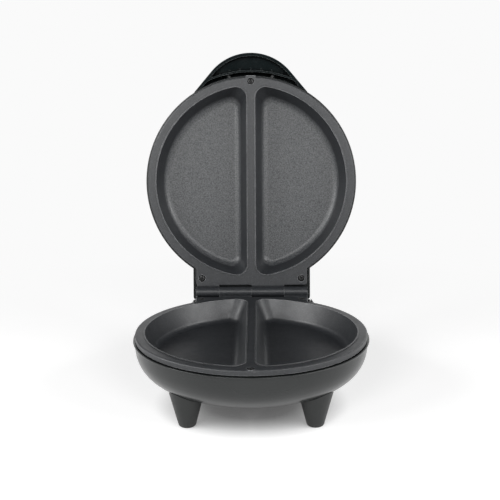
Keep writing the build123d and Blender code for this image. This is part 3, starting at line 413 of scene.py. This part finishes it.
def slot_materials():
    """One finish for each of the record's material slots."""
    return {
        "casing": casing_plastic("casing_plastic", BASE_RIM_WEAR_AND_HIGHLIGHT),
        "grip": grip_plastic(),
        "nonstick": nonstick_coating("nonstick_coating"),
        "foot": foot_plastic(),
        "dark_screw": screw_black(),
        "bright_steel": metal("plated_steel", (0.42, 0.42, 0.41), (0.66, 0.66, 0.64), 0.3),
        "element_sheath": metal("element_sheath", (0.16, 0.14, 0.12), (0.34, 0.31, 0.27), 0.45),
        "bead": matt("ceramic_bead", (0.72, 0.69, 0.61), (0.85, 0.82, 0.75), 0.5, 0.001),
        "brass": metal("terminal_brass", (0.55, 0.42, 0.18), (0.80, 0.64, 0.32), 0.3),
        "inner_plastic": matt("inner_plastic", (0.42, 0.40, 0.35), (0.52, 0.50, 0.44), 0.5),
        "rubber": matt("bush_rubber", (0.018, 0.018, 0.018), (0.032, 0.032, 0.031), 0.6),
        "wire": matt("lead_silicone", (0.62, 0.59, 0.52), (0.74, 0.71, 0.64), 0.45),
        "red_lens": lens("red_lens", (0.55, 0.012, 0.008), (0.80, 0.04, 0.025)),
        "green_lens": lens("green_lens", (0.02, 0.40, 0.08), (0.06, 0.62, 0.14)),
        "lamp": lens("lamp_glass", (0.80, 0.78, 0.74), (0.92, 0.90, 0.86)),
    }


def dress_nodes(finishes):
    """Every CAD node takes its slot's finish, or one of its own."""
    own = {
        "lid_plate": lid_coating(),
        "lid_shell": casing_plastic("casing_plastic_lid", LID_RIM_WEAR_AND_HIGHLIGHT),
    }
    for part in frame["record"]["subparts"]:
        node = frame["nodes"][part["node"]]
        node.data.materials.clear()
        node.data.materials.append(own.get(part["node"], finishes[part["material_slot"]]))


# ---- Cross-head screws on the plates ----
def recess(x, y, radius):
    """Depth of a cross recess at a point of a head: deepest in the middle, its arms running out."""
    depth = 0.0
    for along, across in ((abs(x), abs(y)), (abs(y), abs(x))):
        out = along / (CROSS_REACH * radius)
        half_width = CROSS_WIDTH * radius * (CROSS_FLARE - CROSS_TAPER * out)
        if out < 1 and across < half_width:
            depth = max(depth, CROSS_DEPTH * (1 - out ** 3))
    return depth


def head_mesh(name, radius):
    """A pan head with a cross recess, its underside at z = 0."""
    rounded = HEAD_ROUND * HEAD_HEIGHT
    angles = [2 * pi * step / HEAD_SEGMENTS for step in range(HEAD_SEGMENTS)]
    vertices = [(0, 0, HEAD_HEIGHT + HEAD_DOME - CROSS_DEPTH)]
    for ring in range(1, HEAD_RINGS + 1):
        r = radius * ring / HEAD_RINGS
        shoulder = max(r - (radius - rounded), 0) / rounded
        top = HEAD_HEIGHT + HEAD_DOME * (1 - (r / radius) ** 2)
        top -= rounded * (1 - (1 - shoulder ** 2) ** 0.5)
        for a in angles:
            x, y = r * cos(a), r * sin(a)
            vertices.append((x, y, top - recess(x, y, radius)))
    vertices += [(radius * cos(a), radius * sin(a), 0) for a in angles]
    faces = []
    for step in range(HEAD_SEGMENTS):
        after = (step + 1) % HEAD_SEGMENTS
        faces.append((0, 1 + step, 1 + after))
        for ring in range(HEAD_RINGS):
            inner = 1 + ring * HEAD_SEGMENTS
            outer = inner + HEAD_SEGMENTS
            faces.append((inner + step, outer + step, outer + after, inner + after))
    mesh = bpy.data.meshes.new(name)
    mesh.from_pydata(vertices, [], faces)
    mesh.update()
    return mesh


def head_radius():
    """Radius of a plate screw's head: the lid's and the base's screws are alike."""
    vertices = frame["nodes"]["base_plate_screws"].data.vertices
    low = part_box("base_plate_screws")[0]
    front = [v.co for v in vertices if v.co.y < low.y + FRONT_SCREW_REACH]
    return 0.5 * (max(v.x for v in front) - min(v.x for v in front))


def plate_screw_spots(radius):
    """Middle of each head's top on the base, read from the screws' own box."""
    low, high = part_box("base_plate_screws")
    return [
        Vector((0, low.y + radius, high.z)),
        Vector((low.x + radius, high.y - radius, high.z)),
        Vector((high.x - radius, high.y - radius, high.z)),
    ]


def make_head(name, place, radius, finish, body):
    piece = bpy.data.objects.new(name, head_mesh(name, radius))
    bpy.context.scene.collection.objects.link(piece)
    piece.matrix_world = place
    piece.data.materials.append(finish)
    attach(piece, body)
    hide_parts(f"{body}_plate_screws")


def add_screws(finish):
    """Detailed heads over the plain ones, on both plates."""
    radius = head_radius()
    lid_place = open_lid_matrix()
    down = Matrix.Translation(Vector((0, 0, -HEAD_HEIGHT - HEAD_DOME)))
    flip = Matrix.Rotation(pi, 4, "X")
    spots = plate_screw_spots(radius)
    for index, spot in enumerate(spots):
        turn = Matrix.Rotation(radians(HEAD_TURNS[index]), 4, "Z")
        base = Matrix.Translation(spot) @ down @ turn
        make_head(f"base_screw_head_{index + 1}", base, radius, finish, "base")
        above = Matrix.Translation(Vector((spot.x, spot.y, 2 * MID_PLANE - spot.z)))
        turn = Matrix.Rotation(radians(HEAD_TURNS[index + len(spots)]), 4, "Z")
        lid = lid_place @ above @ flip @ down @ turn
        make_head(f"lid_screw_head_{index + 1}", lid, radius, finish, "lid")


# ---- Studio ----
def world():
    """A pale backdrop. Reflections see a dark ceiling and a dim room in front of the object."""
    made = bpy.data.worlds.new("studio")
    bpy.context.scene.world = made
    made.use_nodes = True
    tree = Nodes(made.node_tree)
    place = tree.add("TexCoord").outputs["Generated"]
    direction = tree.add("SeparateXYZ", {"Vector": place}).outputs

    def glow(level):
        inputs = {"Color": (1, 1, 1, 1), "Strength": level}
        return tree.add("Background", inputs).outputs["Background"]

    ceiling = tree.fit(direction["Z"], CEILING_START, CEILING_END, 1.0, ZENITH, "SMOOTHSTEP")
    front = tree.fit(direction["Y"], FRONT_START, FRONT_END, FRONT_REFLECTION, BACKGROUND, "SMOOTHSTEP")
    direct = tree.math("MULTIPLY", tree.add("LightPath").outputs["Is Camera Ray"], BACKGROUND)
    pictured = glow(tree.math("MAXIMUM", tree.math("MULTIPLY", ceiling, front), direct))
    lighting = glow(tree.math("MULTIPLY", ceiling, AMBIENT))
    chosen = tree.blend(tree.seen_in_picture(), lighting, pictured)
    tree.join(chosen, tree.nodes["World Output"].inputs["Surface"])


def floor_finish():
    """Pale paper. In the picture it keeps the shadow and runs out into the backdrop."""
    f = Finish("floor_paper")
    f.set(roughness=0.9, specular_ior_level=0.0)
    paper = f.fit(f.noise(0.05, 3), 0.3, 0.7, 0, 1)
    f.feed("Base Color", f.mix(paper, (FLOOR_COLOR,) * 3, (FLOOR_COLOR * FLOOR_MOTTLE,) * 3))
    f.feed("Normal", f.bump(f.noise(0.002, 3), 0.00002, 0.2))
    cover = f.add("AmbientOcclusion", {"Distance": SHADOW_REACH}).outputs["AO"]
    away = f.vector_math("LENGTH", f.place)
    shade = f.math("POWER", cover, f.fit(away, SHADOW_START, SHADOW_END, SHADOW_DEPTH, 0))
    lit = f.add("BsdfDiffuse", {"Color": f.math("MULTIPLY", shade, FLOOR_GAIN)}).outputs["BSDF"]
    glow = f.add("Emission", {"Color": f.math("MULTIPLY", shade, BACKGROUND)}).outputs["Emission"]
    backdrop = f.add("Emission", {"Color": (BACKGROUND,) * 3 + (1,)}).outputs["Emission"]
    near = f.blend(FLOOR_GLOW, lit, glow)
    pictured = f.blend(f.fit(away, FADE_START, FADE_END, 0, 1), near, backdrop)
    chosen = f.blend(f.seen_in_picture(), f.surface.outputs["BSDF"], pictured)
    f.join(chosen, f.nodes["Material Output"].inputs["Surface"])
    return f.material


def floor():
    mesh = bpy.data.meshes.new("floor")
    h = FLOOR_SIZE / 2
    mesh.from_pydata([(-h, -h, 0), (h, -h, 0), (h, h, 0), (-h, h, 0)], [], [(0, 1, 2, 3)])
    mesh.materials.append(floor_finish())
    obj = bpy.data.objects.new("floor", mesh)
    bpy.context.scene.collection.objects.link(obj)


def softbox(name, place, size, power):
    """A rectangular lamp facing the object."""
    lamp = bpy.data.lights.new(name, "AREA")
    lamp.shape = "RECTANGLE"
    lamp.size, lamp.size_y = size
    lamp.energy = power
    obj = bpy.data.objects.new(name, lamp)
    bpy.context.scene.collection.objects.link(obj)
    obj.location = place
    obj.rotation_euler = (Vector(LAMP_TARGET) - Vector(place)).to_track_quat("-Z", "Y").to_euler()


def lights():
    for name, side, share in (("left", -1, LEFT_SHARE), ("right", 1, 2 - LEFT_SHARE)):
        for kind, place, size, power in (
            ("key", KEY_PLACE, KEY_SIZE, KEY_POWER),
            ("side", SIDE_PLACE, SIDE_SIZE, SIDE_POWER),
        ):
            x, y, z = place
            softbox(f"{kind}_{name}", (x * side, y, z), size, share * power)


def camera():
    """The photograph's viewpoint."""
    a, e, r = radians(CAMERA_AZIMUTH), radians(CAMERA_ELEVATION), radians(CAMERA_ROLL)
    back = Vector((sin(a) * cos(e), -cos(a) * cos(e), sin(e)))
    right = Vector((cos(a), sin(a), 0))
    up = back.cross(right)
    rolled_right = right * cos(r) - up * sin(r)
    rolled_up = right * sin(r) + up * cos(r)
    data = bpy.data.cameras.new("camera")
    data.sensor_width = CAMERA_SENSOR
    data.lens = CAMERA_LENS
    data.shift_x = CAMERA_SHIFT_X
    data.clip_end = CAMERA_CLIP_END
    obj = bpy.data.objects.new("camera", data)
    bpy.context.scene.collection.objects.link(obj)
    turn = Matrix((rolled_right, rolled_up, back)).transposed().to_4x4()
    obj.matrix_world = Matrix.Translation(CAMERA_TARGET + back * CAMERA_DISTANCE) @ turn
    bpy.context.scene.camera = obj


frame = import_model()
finishes = slot_materials()
dress_nodes(finishes)
add_screws(finishes["dark_screw"])
world()
floor()
lights()
camera()
bpy.context.scene.view_settings.view_transform = "Standard"
bpy.context.view_layer.update()
